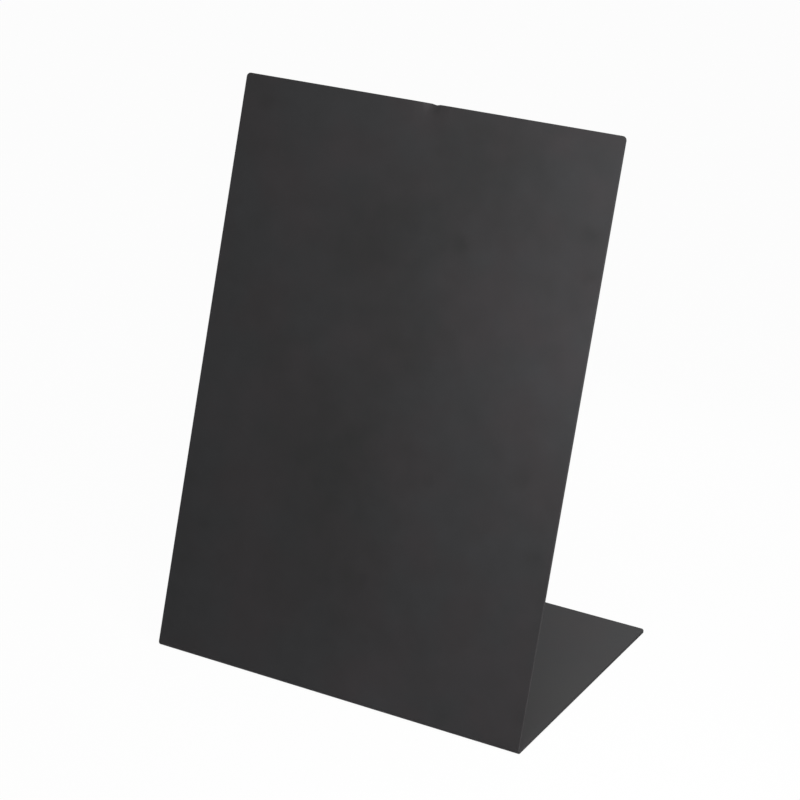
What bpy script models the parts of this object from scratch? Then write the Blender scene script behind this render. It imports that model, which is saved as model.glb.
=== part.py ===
"""Metal chalkboard: one sheet of steel with a matte black coat, folded once.

The upper part of the sheet is a portrait writing face that leans back, and the
rest runs back from the fold as a flat foot. The face looks towards -Y, and the
origin is on the floor in the middle of the footprint. Metres, +Z up.
"""

import math

import bmesh
import bpy
from mathutils import Vector

# The sheet
BOARD_WIDTH = 0.148
BOARD_HEIGHT = 0.210  # up the writing face, from where a sharp fold would meet the floor
FOOT_DEPTH = 0.100  # back along the floor, from the same place
SHEET_THICKNESS = 0.001
CORNER_RADIUS = 0.0015
EDGE_ROUNDING = 0.00015  # the coat softens every cut edge

# The fold
BOARD_LEAN = math.radians(18.7)  # back from upright
BEND_INSIDE_RADIUS = 0.0006

# The dent, where something knocked the top edge back: a broad hollow with a deeper middle
DENT_OFF_CENTRE = 0.0012  # to the right of the middle, seen from the front
HOLLOW_DEPTH = 0.0009  # at the top edge
HOLLOW_REACH = 0.0075  # to either side
HOLLOW_HEIGHT = 0.015  # down the writing face
KNOCK_DEPTH = 0.0013
KNOCK_REACH = 0.0037
KNOCK_HEIGHT = 0.005

# The nick beside the deepest place, where the edge itself is beaten down in a V
NICK_OFF_CENTRE = 0.0021
NICK_REACH = 0.0018
NICK_DEPTH = 0.0003

# How finely the rounds and the dent are divided
CORNER_STEPS = 6
EDGE_STEPS = 2
BEND_STEPS = 10
DENT_ROWS = 8
DENT_COLUMNS = 7  # to either side

# The sheet is laid out flat with its foot at negative runs, its bend from run 0
# to BEND_RUN and its board above that. Lengths are those of the outer face.
BEND_ANGLE = math.radians(90) + BOARD_LEAN
BEND_RADIUS = BEND_INSIDE_RADIUS + SHEET_THICKNESS
BEND_RUN = BEND_RADIUS * BEND_ANGLE
SETBACK = BEND_RADIUS * math.tan(BEND_ANGLE / 2)  # from the sharp fold to where the bend starts
FOOT_FLAT = FOOT_DEPTH - SETBACK
BOARD_FLAT = BOARD_HEIGHT - SETBACK
SHEET_TOP = BEND_RUN + BOARD_FLAT

# The footprint runs from the front of the bend to the rear of the foot.
FOOTPRINT_MIDDLE = (SETBACK - BEND_RADIUS + FOOT_DEPTH) / 2

MERGE_DISTANCE = 1e-6  # a cut this close to a corner of the mesh goes through it

COAT_COLOUR = (0.036, 0.034, 0.034, 1.0)
COAT_ROUGHNESS = 0.5


def clear_scene():
    for thing in list(bpy.data.objects):
        bpy.data.objects.remove(thing, do_unlink=True)


def coat_material():
    """Matte black chalkboard paint on steel."""
    coat = bpy.data.materials.new("chalkboard_coat")
    coat.use_nodes = True
    shader = coat.node_tree.nodes["Principled BSDF"]
    shader.inputs["Base Color"].default_value = COAT_COLOUR
    shader.inputs["Roughness"].default_value = COAT_ROUGHNESS
    shader.inputs["Metallic"].default_value = 0.0
    return coat


def flat_sheet():
    """The sheet as it is cut: a rectangle with rounded corners."""
    length = FOOT_FLAT + SHEET_TOP
    sheet = bmesh.new()
    bmesh.ops.create_grid(sheet, x_segments=1, y_segments=1, size=0.5)
    bmesh.ops.scale(sheet, vec=(BOARD_WIDTH, length, 1.0), verts=sheet.verts)
    bmesh.ops.translate(sheet, vec=(0.0, length / 2 - FOOT_FLAT, 0.0), verts=sheet.verts)
    bmesh.ops.bevel(
        sheet,
        geom=sheet.verts[:],
        offset=CORNER_RADIUS,
        segments=CORNER_STEPS,
        profile=0.5,
        affect="VERTICES",
    )
    return sheet


def cut(sheet, faces, place, direction):
    """Divide some of the sheet's faces along a line through place, square to direction."""
    edges = {edge for face in faces for edge in face.edges}
    corners = {corner for face in faces for corner in face.verts}
    bmesh.ops.bisect_plane(
        sheet,
        geom=list(faces) + list(edges) + list(corners),
        dist=MERGE_DISTANCE,
        plane_co=place,
        plane_no=direction,
    )


def cut_for_bend(sheet):
    """One row across the sheet at each step of the bend."""
    for step in range(BEND_STEPS + 1):
        run = BEND_RUN * step / BEND_STEPS
        cut(sheet, sheet.faces[:], Vector((0.0, run, 0.0)), Vector((0.0, 1.0, 0.0)))


def cut_for_dent(sheet):
    """Rows and columns where the dent will be pressed in. The rows are closer near the top."""
    for step in range(1, DENT_ROWS + 1):
        run = SHEET_TOP - HOLLOW_HEIGHT * (step / DENT_ROWS) ** 2
        cut(sheet, sheet.faces[:], Vector((0.0, run, 0.0)), Vector((0.0, 1.0, 0.0)))

    columns = [NICK_OFF_CENTRE - NICK_REACH, NICK_OFF_CENTRE, NICK_OFF_CENTRE + NICK_REACH]
    for step in range(-DENT_COLUMNS, DENT_COLUMNS + 1):
        columns.append(DENT_OFF_CENTRE + HOLLOW_REACH * step / DENT_COLUMNS)
    foot_of_dent = SHEET_TOP - HOLLOW_HEIGHT
    for x in sorted(columns):
        dented = [face for face in sheet.faces if face.calc_center_bounds().y > foot_of_dent]
        cut(sheet, dented, Vector((x, 0.0, 0.0)), Vector((1.0, 0.0, 0.0)))


def fade(distance, reach):
    """1 at a distance of nothing, falling evenly to 0 at its reach and beyond."""
    return max(0.0, 1.0 - abs(distance) / reach)


def swell(distance, reach):
    """The same with a round top and a soft foot."""
    return max(0.0, 1.0 - (distance / reach) ** 2) ** 2


def dent_at(x, below_top):
    """How far the writing face is pushed back."""
    aside = x - DENT_OFF_CENTRE
    hollow = HOLLOW_DEPTH * swell(aside, HOLLOW_REACH) * fade(below_top, HOLLOW_HEIGHT) ** 2
    knock = KNOCK_DEPTH * swell(aside, KNOCK_REACH) * fade(below_top, KNOCK_HEIGHT) ** 2
    return hollow + knock


def nick_at(x, below_top):
    """How far the edge is beaten down: a V that is gone at half its width below."""
    return NICK_DEPTH * fade(x - NICK_OFF_CENTRE, NICK_REACH) * fade(below_top, NICK_REACH)


def folded(x, run, inwards):
    """Where a point of the flat sheet lies once it is folded, inwards of the outer face."""
    turned = min(max(run / BEND_RADIUS, 0.0), BEND_ANGLE)
    straight = run - turned * BEND_RADIUS
    y = SETBACK - FOOTPRINT_MIDDLE - BEND_RADIUS * math.sin(turned) - straight * math.cos(turned)
    z = BEND_RADIUS * (1.0 - math.cos(turned)) + straight * math.sin(turned)
    return Vector((x, y + inwards * math.sin(turned), z + inwards * math.cos(turned)))


def folded_sheet():
    """The sheet's outer face, dented and folded. Its normals point out of the fold."""
    sheet = flat_sheet()
    cut_for_bend(sheet)
    cut_for_dent(sheet)
    for point in sheet.verts:
        x, run, _ = point.co
        below_top = SHEET_TOP - run
        point.co = folded(x, run - nick_at(x, below_top), dent_at(x, below_top))
    mesh = bpy.data.meshes.new("folded_board")
    sheet.to_mesh(mesh)
    sheet.free()
    return mesh


def folded_board():
    """The whole sheet: its outer face given the steel's thickness and softened edges."""
    board = bpy.data.objects.new("folded_board", folded_sheet())
    board.data.materials.append(coat_material())

    steel = board.modifiers.new("steel thickness", "SOLIDIFY")
    steel.thickness = SHEET_THICKNESS
    steel.offset = -1.0
    steel.use_even_offset = True

    edges = board.modifiers.new("softened edges", "BEVEL")
    edges.width = min(EDGE_ROUNDING, 0.4 * SHEET_THICKNESS)
    edges.segments = EDGE_STEPS
    edges.limit_method = "ANGLE"
    edges.angle_limit = math.radians(45)
    return board


def build_chalkboard():
    clear_scene()
    parts = bpy.data.collections.new("metal_chalkboard")
    bpy.context.scene.collection.children.link(parts)
    parts.objects.link(folded_board())


build_chalkboard()
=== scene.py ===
import math

import bpy
from mathutils import Matrix, Vector


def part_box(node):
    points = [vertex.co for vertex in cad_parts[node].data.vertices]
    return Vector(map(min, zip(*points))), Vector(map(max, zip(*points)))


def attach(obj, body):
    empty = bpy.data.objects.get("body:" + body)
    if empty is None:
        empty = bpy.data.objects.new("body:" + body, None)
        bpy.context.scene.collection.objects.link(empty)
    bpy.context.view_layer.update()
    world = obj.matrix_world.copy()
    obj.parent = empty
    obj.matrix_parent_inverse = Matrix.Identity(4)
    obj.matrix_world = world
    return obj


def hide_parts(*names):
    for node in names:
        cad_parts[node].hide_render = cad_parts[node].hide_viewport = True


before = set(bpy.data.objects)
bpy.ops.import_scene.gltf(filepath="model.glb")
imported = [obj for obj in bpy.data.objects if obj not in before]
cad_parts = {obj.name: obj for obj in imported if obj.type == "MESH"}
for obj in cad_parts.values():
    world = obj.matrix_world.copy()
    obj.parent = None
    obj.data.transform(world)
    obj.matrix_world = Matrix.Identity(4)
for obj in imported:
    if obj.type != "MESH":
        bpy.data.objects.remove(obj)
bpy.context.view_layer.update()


# The folded sheet.
# One blank of 1 mm steel, cut to a rectangle with small round corners and pressed over
# once: the upper part leans back as the writing face and the rest is the flat foot. Its
# outer face comes first, from the foot's underside round the bend and up the board.

MM = 0.001
SHEET_THICKNESS = 1.0 * MM
BEND_INSIDE_RADIUS = 0.6 * MM
BOARD_LEAN = math.radians(18.7)
BEND_STEPS = 16
CORNER_RADIUS = 1.5 * MM
CORNER_STEPS = 8
EDGE_ROUNDING = 0.15 * MM
EDGE_STEPS = 4
DENT_BAND = 15.0 * MM  # the strip along the top edge that the dent lies in
NEAR = 0.01 * MM

low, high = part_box("folded_board")
width = high[0] - low[0]
bend_radius = BEND_INSIDE_RADIUS + SHEET_THICKNESS
bend_angle = math.radians(90) + BOARD_LEAN
bend_centre = Vector((0.0, low[1] + bend_radius, bend_radius))
foot_depth = high[1] - bend_centre.y

up_the_board = Vector((0.0, math.sin(BOARD_LEAN), math.cos(BOARD_LEAN)))
into_the_board = Vector((0.0, math.cos(BOARD_LEAN), -math.sin(BOARD_LEAN)))
bend_top = bend_centre - bend_radius * into_the_board

# The rounded top edge is a little lower than the sharp one that it is cut from.
sharp_top = high[2] + EDGE_ROUNDING * (up_the_board.z + up_the_board.y - 1)
board_height = (sharp_top - bend_top.z) / up_the_board.z

bpy.ops.object.select_all(action="DESELECT")
bpy.ops.mesh.primitive_plane_add(size=1.0, location=(0.0, bend_centre.y + foot_depth / 2, 0.0))
sheet = bpy.context.object
sheet.name = "chalkboard_sheet"
sheet.data.name = "chalkboard_sheet"
sheet.scale = (width, foot_depth, 1.0)
bpy.ops.object.transform_apply(location=True, rotation=False, scale=True)


def pick(test, kind="VERT"):
    """Select the sheet's vertices, edges or faces whose middle passes the test, and no others."""
    bpy.ops.mesh.select_mode(type=kind)
    bpy.ops.mesh.select_all(action="DESELECT")
    bpy.ops.object.mode_set(mode="OBJECT")
    mesh = sheet.data
    things = {"VERT": mesh.vertices, "EDGE": mesh.edges, "FACE": mesh.polygons}[kind]
    for thing in things:
        corners = [thing.index] if kind == "VERT" else thing.vertices
        middle = sum((mesh.vertices[i].co for i in corners), Vector()) / len(corners)
        thing.select = test(middle)
    bpy.ops.object.mode_set(mode="EDIT")


bpy.ops.object.mode_set(mode="EDIT")
pick(lambda place: place.y < bend_centre.y + NEAR, "EDGE")
bpy.ops.mesh.spin(steps=BEND_STEPS, angle=bend_angle, center=bend_centre, axis=(1.0, 0.0, 0.0))
for length in (board_height - DENT_BAND, DENT_BAND):
    bpy.ops.mesh.extrude_region_move(TRANSFORM_OT_translate={"value": length * up_the_board})
bpy.ops.mesh.select_all(action="SELECT")
bpy.ops.mesh.remove_doubles(threshold=NEAR)
bpy.ops.mesh.normals_make_consistent(inside=False)

# The blank's four corners are rounded while it still has no thickness.
pick(lambda place: place.z > sharp_top - NEAR or (place.z < NEAR and place.y > high[1] - NEAR))
bpy.ops.mesh.bevel(offset=CORNER_RADIUS, segments=CORNER_STEPS, affect="VERTICES", profile=0.5)


# The dent in the top edge.
# Something knocked the edge just right of its middle. The edge is pushed back there, a
# shallow hollow that this leaves runs out softly down the face, and beside its deepest
# place the edge itself is beaten down in a small V.

DENT_OFF_CENTRE = 1.2 * MM
HOLLOW_DEPTH = 0.9 * MM
HOLLOW_REACH = 7.5 * MM
KNOCK_DEPTH = 1.3 * MM
KNOCK_REACH = 3.7 * MM
KNOCK_HEIGHT = 5.0 * MM
NICK_OFF_CENTRE = 2.1 * MM
NICK_REACH = 1.8 * MM
NICK_DEPTH = 0.3 * MM
DENT_CUTS = 39

dent_left = DENT_OFF_CENTRE - HOLLOW_REACH
dent_right = DENT_OFF_CENTRE + HOLLOW_REACH
foot_of_band = sharp_top - DENT_BAND * up_the_board.z + NEAR
for x in (dent_left, dent_right):
    pick(lambda place: place.z > foot_of_band, "FACE")
    bpy.ops.mesh.bisect(plane_co=(x, 0.0, 0.0), plane_no=(1.0, 0.0, 0.0))
pick(lambda place: place.z > foot_of_band and dent_left < place.x < dent_right, "FACE")
bpy.ops.mesh.subdivide(number_cuts=DENT_CUTS)
bpy.ops.object.mode_set(mode="OBJECT")


def fade(distance, reach):
    """1 at a distance of nothing, falling evenly to 0 at its reach and beyond."""
    return max(0.0, 1.0 - abs(distance) / reach)


def swell(distance, reach):
    """The same with a round top and a soft foot."""
    return max(0.0, 1.0 - (distance / reach) ** 2) ** 2


for point in sheet.data.vertices:
    aside = point.co.x - DENT_OFF_CENTRE
    below_top = (sharp_top - point.co.z) / up_the_board.z
    hollow = HOLLOW_DEPTH * swell(aside, HOLLOW_REACH) * fade(below_top, DENT_BAND) ** 2
    knock = KNOCK_DEPTH * swell(aside, KNOCK_REACH) * fade(below_top, KNOCK_HEIGHT) ** 2
    from_nick = point.co.x - NICK_OFF_CENTRE
    nick = NICK_DEPTH * fade(from_nick, NICK_REACH) * fade(below_top, NICK_REACH)
    point.co += (hollow + knock) * into_the_board - nick * up_the_board

# The steel gets its thickness towards the inside of the fold, and the coat softens
# every cut edge a little. The broad flats keep flat shading beside the rounds.
FOLD_SHARPER_THAN = math.radians(45)
SMOOTH_BELOW = math.radians(35)

steel = sheet.modifiers.new("steel thickness", "SOLIDIFY")
steel.thickness = SHEET_THICKNESS
steel.offset = -1.0
steel.use_even_offset = True
edges = sheet.modifiers.new("coated edges", "BEVEL")
edges.width = EDGE_ROUNDING
edges.segments = EDGE_STEPS
edges.limit_method = "ANGLE"
edges.angle_limit = FOLD_SHARPER_THAN
for modifier in ("steel thickness", "coated edges"):
    bpy.ops.object.modifier_apply(modifier=modifier)
bpy.ops.object.shade_smooth_by_angle(angle=SMOOTH_BELOW)
flats = sheet.modifiers.new("flat faces stay flat", "WEIGHTED_NORMAL")
flats.keep_sharp = True
bpy.ops.object.modifier_apply(modifier=flats.name)


# The coat.
# Chalkboard paint, sprayed on the steel and baked. The mineral powder in it, which gives
# chalk its bite, makes it a dead matte near black with hardly any gloss. Wiping leaves
# soft clouds and smudges on it, a shade apart, and a few pale specks of dust. Broad patches
# on the board are partly painted light and shade, and the foot is painted darker towards
# the fold, as painted shade under the leaning board.

COAT_DARK = "#2c2c2c"
COAT_COOL = "#3d3d3f"
COAT_WARM = "#3f3c3e"
DUST = "#4a494a"
EVEN_PALENESS = 0.48  # from the dark colour, 0, to the pale ones, 1
CLOUDS_PALENESS = 0.45  # how much the small clouds change it
COAT_SPECULAR = 0.1
WIPED_ROUGHNESS = 0.5
DUSTY_ROUGHNESS = 0.65
SMALL_CLOUD = 9.0 * MM
SMALL_CLOUD_DETAIL = 4.0
WARM_CLOUD = 25.0 * MM
WARM_CLOUD_DETAIL = 2.0
WARM_CLOUD_STARTS = 0.4
WARM_CLOUD_FULL = 0.6
UNEVENNESS = 8.0 * MM
GRAIN_SIZE = 0.9 * MM  # the powder's grain is about 0.1 mm and is drawn coarser, so that it shows
GRAIN_HEIGHT = 0.012 * MM
GRAIN_DETAIL = 1.0

# Each place is so many mm right of the middle and away from the fold, with a radius in mm.
# The last number is how much paler the coat is there. For the specks it is the share of dust.
# Broad patches on the board. They are partly the coat's own uneven tone and partly painted light
# and shade: they make the board paler or darker by places, to even out how the lamps light it.
TONE_AND_PAINTED_LIGHT_ON_BOARD = (
    (-15, 85, 40, -0.3),
    (-10, 160, 40, -0.3),
    (25, 190, 40, -0.2),
    (-10, 45, 40, -0.2),
    (5, 125, 30, -0.2),
    (-40, 120, 40, -0.1),
    (70, 130, 40, 0.15),
    (60, 20, 40, 0.1),
    (15, 0, 30, 0.2),
    (-50, 0, 40, 0.1),
    (-75, 95, 30, 0.1),
)
SMUDGES_ON_BOARD = (
    (67, 176, 7, -0.20),
    (69, 163, 4, -0.17),
    (60, 135, 6, -0.17),
    (58, 92, 6, -0.12),
    (67, 67, 5, -0.17),
    (46, 194, 6, -0.12),
    (20, 165, 5, -0.15),
    (23, 83, 4, -0.12),
    (6, 43, 5, -0.15),
    (-63, 48, 4, -0.15),
    (-64, 201, 5, -0.17),
)
SPECKS_ON_BOARD = (
    (-36.4, 106.3, 0.7, 0.45),
    (48.0, 101.6, 0.7, 0.30),
    (0.4, 102.5, 0.6, 0.25),
    (69.1, 103.5, 0.6, 0.30),
    (-42.9, 52.6, 0.6, 0.30),
)
# Painted shade: the foot's right side is darker towards the fold, where the leaning board shades
# it.
PAINTED_SHADE_ON_FOOT = ((72, 36, 42, -0.40),)
BACK_ALONG_FOOT = Vector((0.0, 1.0, 0.0))


def linear(hex_colour):
    """A colour as shaders take it, from its sRGB hex value."""
    channels = [int(hex_colour[i : i + 2], 16) / 255 for i in (1, 3, 5)]
    channels = [c / 12.92 if c <= 0.04045 else ((c + 0.055) / 1.055) ** 2.4 for c in channels]
    return (*channels, 1.0)


def add_node(tree, kind, settings=None, inputs=None):
    """A node with its settings; each input is given a value, or the socket that feeds it."""
    node = tree.nodes.new(kind)
    for name, value in (settings or {}).items():
        setattr(node, name, value)
    for name, value in (inputs or {}).items():
        if isinstance(value, bpy.types.NodeSocket):
            tree.links.new(value, node.inputs[name])
        else:
            node.inputs[name].default_value = value
    return node


coat = bpy.data.materials.new("matte chalkboard paint on steel")
coat.use_nodes = True
tree = coat.node_tree
paint = tree.nodes["Principled BSDF"]
place = add_node(tree, "ShaderNodeTexCoord").outputs["Object"]


def cloud(size, detail):
    """Soft patches of about a size, from 0 to 1."""
    values = {"Vector": place, "Scale": 1 / size, "Detail": detail}
    return add_node(tree, "ShaderNodeTexNoise", inputs=values).outputs["Fac"]


def add_spots(total, where, spots, along):
    """A total with soft round spots added, on the flat that runs along a direction."""
    for right, from_fold, radius, share in spots:
        middle = Vector((right * MM, low[1], 0.0)) + from_fold * MM * along
        between = {0: where, 1: middle}
        away = add_node(tree, "ShaderNodeVectorMath", {"operation": "DISTANCE"}, between)
        fading = {"Value": away.outputs["Value"], "From Max": radius * MM}
        fading |= {"To Min": share, "To Max": 0.0}
        spot = add_node(tree, "ShaderNodeMapRange", {"interpolation_type": "SMOOTHSTEP"}, fading)
        both = {0: total, 1: spot.outputs["Result"]}
        total = add_node(tree, "ShaderNodeMath", {"operation": "ADD"}, both).outputs[0]
    return total


def laid_over(share, under, over):
    """A colour over another, by a share from 0 to 1."""
    layers = {"Factor": share, 6: under, 7: over}  # these two are the node's colour sockets
    return add_node(tree, "ShaderNodeMix", {"data_type": "RGBA"}, layers).outputs[2]


# Noise pushes the clouds' places about, which gives them uneven outlines.
noise = add_node(tree, "ShaderNodeTexNoise", inputs={"Vector": place, "Scale": 1 / SMALL_CLOUD})
push = {0: noise.outputs["Color"], 1: (UNEVENNESS,) * 3, 2: (-UNEVENNESS / 2,) * 3}
push = add_node(tree, "ShaderNodeVectorMath", {"operation": "MULTIPLY_ADD"}, push).outputs[0]
pushed = {0: place, 1: push}
uneven_place = add_node(tree, "ShaderNodeVectorMath", {"operation": "ADD"}, pushed).outputs[0]

small_clouds = {
    0: cloud(SMALL_CLOUD, SMALL_CLOUD_DETAIL),
    1: CLOUDS_PALENESS,
    2: EVEN_PALENESS - CLOUDS_PALENESS / 2,
}
paleness_with_painted_light_and_shade = add_node(tree, "ShaderNodeMath", {"operation": "MULTIPLY_ADD"}, small_clouds).outputs[0]
# The board's broad patches add painted light and shade along with the coat's uneven tone.
paleness_with_painted_light_and_shade = add_spots(paleness_with_painted_light_and_shade, uneven_place, TONE_AND_PAINTED_LIGHT_ON_BOARD + SMUDGES_ON_BOARD, up_the_board)
# The foot's patch adds painted shade under the board.
paleness_with_painted_light_and_shade = add_spots(paleness_with_painted_light_and_shade, uneven_place, PAINTED_SHADE_ON_FOOT, BACK_ALONG_FOOT)
warm = {
    "Value": cloud(WARM_CLOUD, WARM_CLOUD_DETAIL),
    "From Min": WARM_CLOUD_STARTS,
    "From Max": WARM_CLOUD_FULL,
}
warm = add_node(tree, "ShaderNodeMapRange", inputs=warm).outputs["Result"]
pale = laid_over(warm, linear(COAT_COOL), linear(COAT_WARM))
colour = laid_over(paleness_with_painted_light_and_shade, linear(COAT_DARK), pale)
specks = add_spots(0.0, place, SPECKS_ON_BOARD, up_the_board)
colour = laid_over(specks, colour, linear(DUST))
tree.links.new(colour, paint.inputs["Base Color"])

# Dust left on the coat scatters more light than the coat where it was wiped clean.
# The paleness that sets it includes the painted light and shade too, so the roughness follows them
# as well.
roughness = {"Value": paleness_with_painted_light_and_shade, "To Min": WIPED_ROUGHNESS, "To Max": DUSTY_ROUGHNESS}
roughness = add_node(tree, "ShaderNodeMapRange", inputs=roughness).outputs["Result"]
tree.links.new(roughness, paint.inputs["Roughness"])
grain = {"Distance": GRAIN_HEIGHT, "Height": cloud(GRAIN_SIZE, GRAIN_DETAIL)}
grain = add_node(tree, "ShaderNodeBump", inputs=grain).outputs["Normal"]
tree.links.new(grain, paint.inputs["Normal"])
paint.inputs["Specular IOR Level"].default_value = COAT_SPECULAR
sheet.data.materials.append(coat)

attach(sheet, "root")
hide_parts("folded_board")


# The floor.
# A plain sheet of white paper under the object. The camera and reflections see most of it
# as plain white, and the rest of it takes the lamps' light and the object's soft shadow.

FLOOR_SIZE = 40.0
FLOOR_BELOW = 0.02 * MM  # under the foot, so that the two faces don't fight
FLOOR_COLOUR = "#f4f4f4"
FLOOR_OWN_WHITE = 0.97

bpy.ops.object.select_all(action="DESELECT")
bpy.ops.mesh.primitive_plane_add(size=FLOOR_SIZE, location=(0.0, 0.0, -FLOOR_BELOW))
floor = bpy.context.object
floor.name = "floor"
paper = bpy.data.materials.new("white paper")
paper.use_nodes = True


def seen_or_reflected(tree):
    """1 for rays from the camera, a reflection or through glass, 0 for scattered light."""
    rays = add_node(tree, "ShaderNodeLightPath").outputs
    either = {0: rays["Is Camera Ray"], 1: rays["Is Glossy Ray"]}
    either = add_node(tree, "ShaderNodeMath", {"operation": "MAXIMUM"}, either).outputs[0]
    any_of_them = {0: either, 1: rays["Is Transmission Ray"]}
    return add_node(tree, "ShaderNodeMath", {"operation": "MAXIMUM"}, any_of_them).outputs[0]


tree = paper.node_tree
tree.nodes.remove(tree.nodes["Principled BSDF"])
matte = add_node(tree, "ShaderNodeBsdfDiffuse", inputs={"Color": linear(FLOOR_COLOUR)})
white = add_node(tree, "ShaderNodeEmission", inputs={"Color": linear("#ffffff"), "Strength": 1.0})
own_white = {0: seen_or_reflected(tree), 1: FLOOR_OWN_WHITE}
own_white = add_node(tree, "ShaderNodeMath", {"operation": "MULTIPLY"}, own_white).outputs[0]
surface = {0: own_white, 1: matte.outputs[0], 2: white.outputs[0]}
surface = add_node(tree, "ShaderNodeMixShader", inputs=surface)
tree.links.new(surface.outputs[0], tree.nodes["Material Output"].inputs["Surface"])
floor.data.materials.append(paper)


# The light.
# A white room around the object, and three softboxes close to it. The large one at the upper
# right makes the board lighter towards that side, a small one low on the right lights its
# right edge, and one low behind lights the foot.

ROOM_LIGHT = 0.15
LAMPS_AIM = Vector((0.0, 0.0, 0.1))

world = bpy.data.worlds.new("white room")
world.use_nodes = True
bpy.context.scene.world = world
tree = world.node_tree
dim = tree.nodes["Background"]
dim.inputs["Color"].default_value = linear("#ffffff")
dim.inputs["Strength"].default_value = ROOM_LIGHT
white = add_node(tree, "ShaderNodeBackground", inputs={"Color": linear("#ffffff"), "Strength": 1.0})
room = {0: seen_or_reflected(tree), 1: dim.outputs[0], 2: white.outputs[0]}
room = add_node(tree, "ShaderNodeMixShader", inputs=room)
tree.links.new(room.outputs[0], tree.nodes["World Output"].inputs["Surface"])


def direction(azimuth, elevation):
    """The direction of a view or lamp: azimuth 0 is in front of the board, 90 to its right."""
    around, up = math.radians(azimuth), math.radians(elevation)
    return Vector((math.sin(around) * math.cos(up), -math.cos(around) * math.cos(up), math.sin(up)))


def softbox(name, azimuth, elevation, distance, size, power):
    """A square lamp of soft light, turned towards the object. The camera doesn't see it."""
    lamp = bpy.data.lights.new(name, "AREA")
    lamp.shape = "SQUARE"
    lamp.size = size
    lamp.energy = power
    stand = bpy.data.objects.new(name, lamp)
    bpy.context.scene.collection.objects.link(stand)
    away = direction(azimuth, elevation)
    turn = away.to_track_quat("Z", "Y")
    stand.matrix_world = Matrix.LocRotScale(LAMPS_AIM + distance * away, turn, None)
    stand.visible_camera = False


softbox("key softbox", azimuth=45, elevation=45, distance=0.28, size=0.25, power=0.74)
softbox("side softbox", azimuth=70, elevation=15, distance=0.2, size=0.1, power=0.14)
softbox("rear softbox", azimuth=180, elevation=10, distance=0.25, size=0.12, power=0.14)


# The camera.
# It stands at the photograph's viewing angle. Its place and its lens were worked out from
# the outline of the sheet in the photograph.

CAMERA_AZIMUTH = 30.54
CAMERA_ELEVATION = 23.68
CAMERA_DISTANCE = 0.856
CAMERA_LENS = 110.05
SENSOR_WIDTH = 36.0
CAMERA_AIM = Vector((-0.00035, -0.00167, 0.09592))

camera = bpy.data.objects.new("camera", bpy.data.cameras.new("camera"))
camera.data.lens = CAMERA_LENS
camera.data.sensor_width = SENSOR_WIDTH
away = direction(CAMERA_AZIMUTH, CAMERA_ELEVATION)
turn = away.to_track_quat("Z", "Y")
camera.matrix_world = Matrix.LocRotScale(CAMERA_AIM + CAMERA_DISTANCE * away, turn, None)
bpy.context.scene.collection.objects.link(camera)
bpy.context.scene.camera = camera
bpy.context.scene.view_settings.view_transform = "Standard"
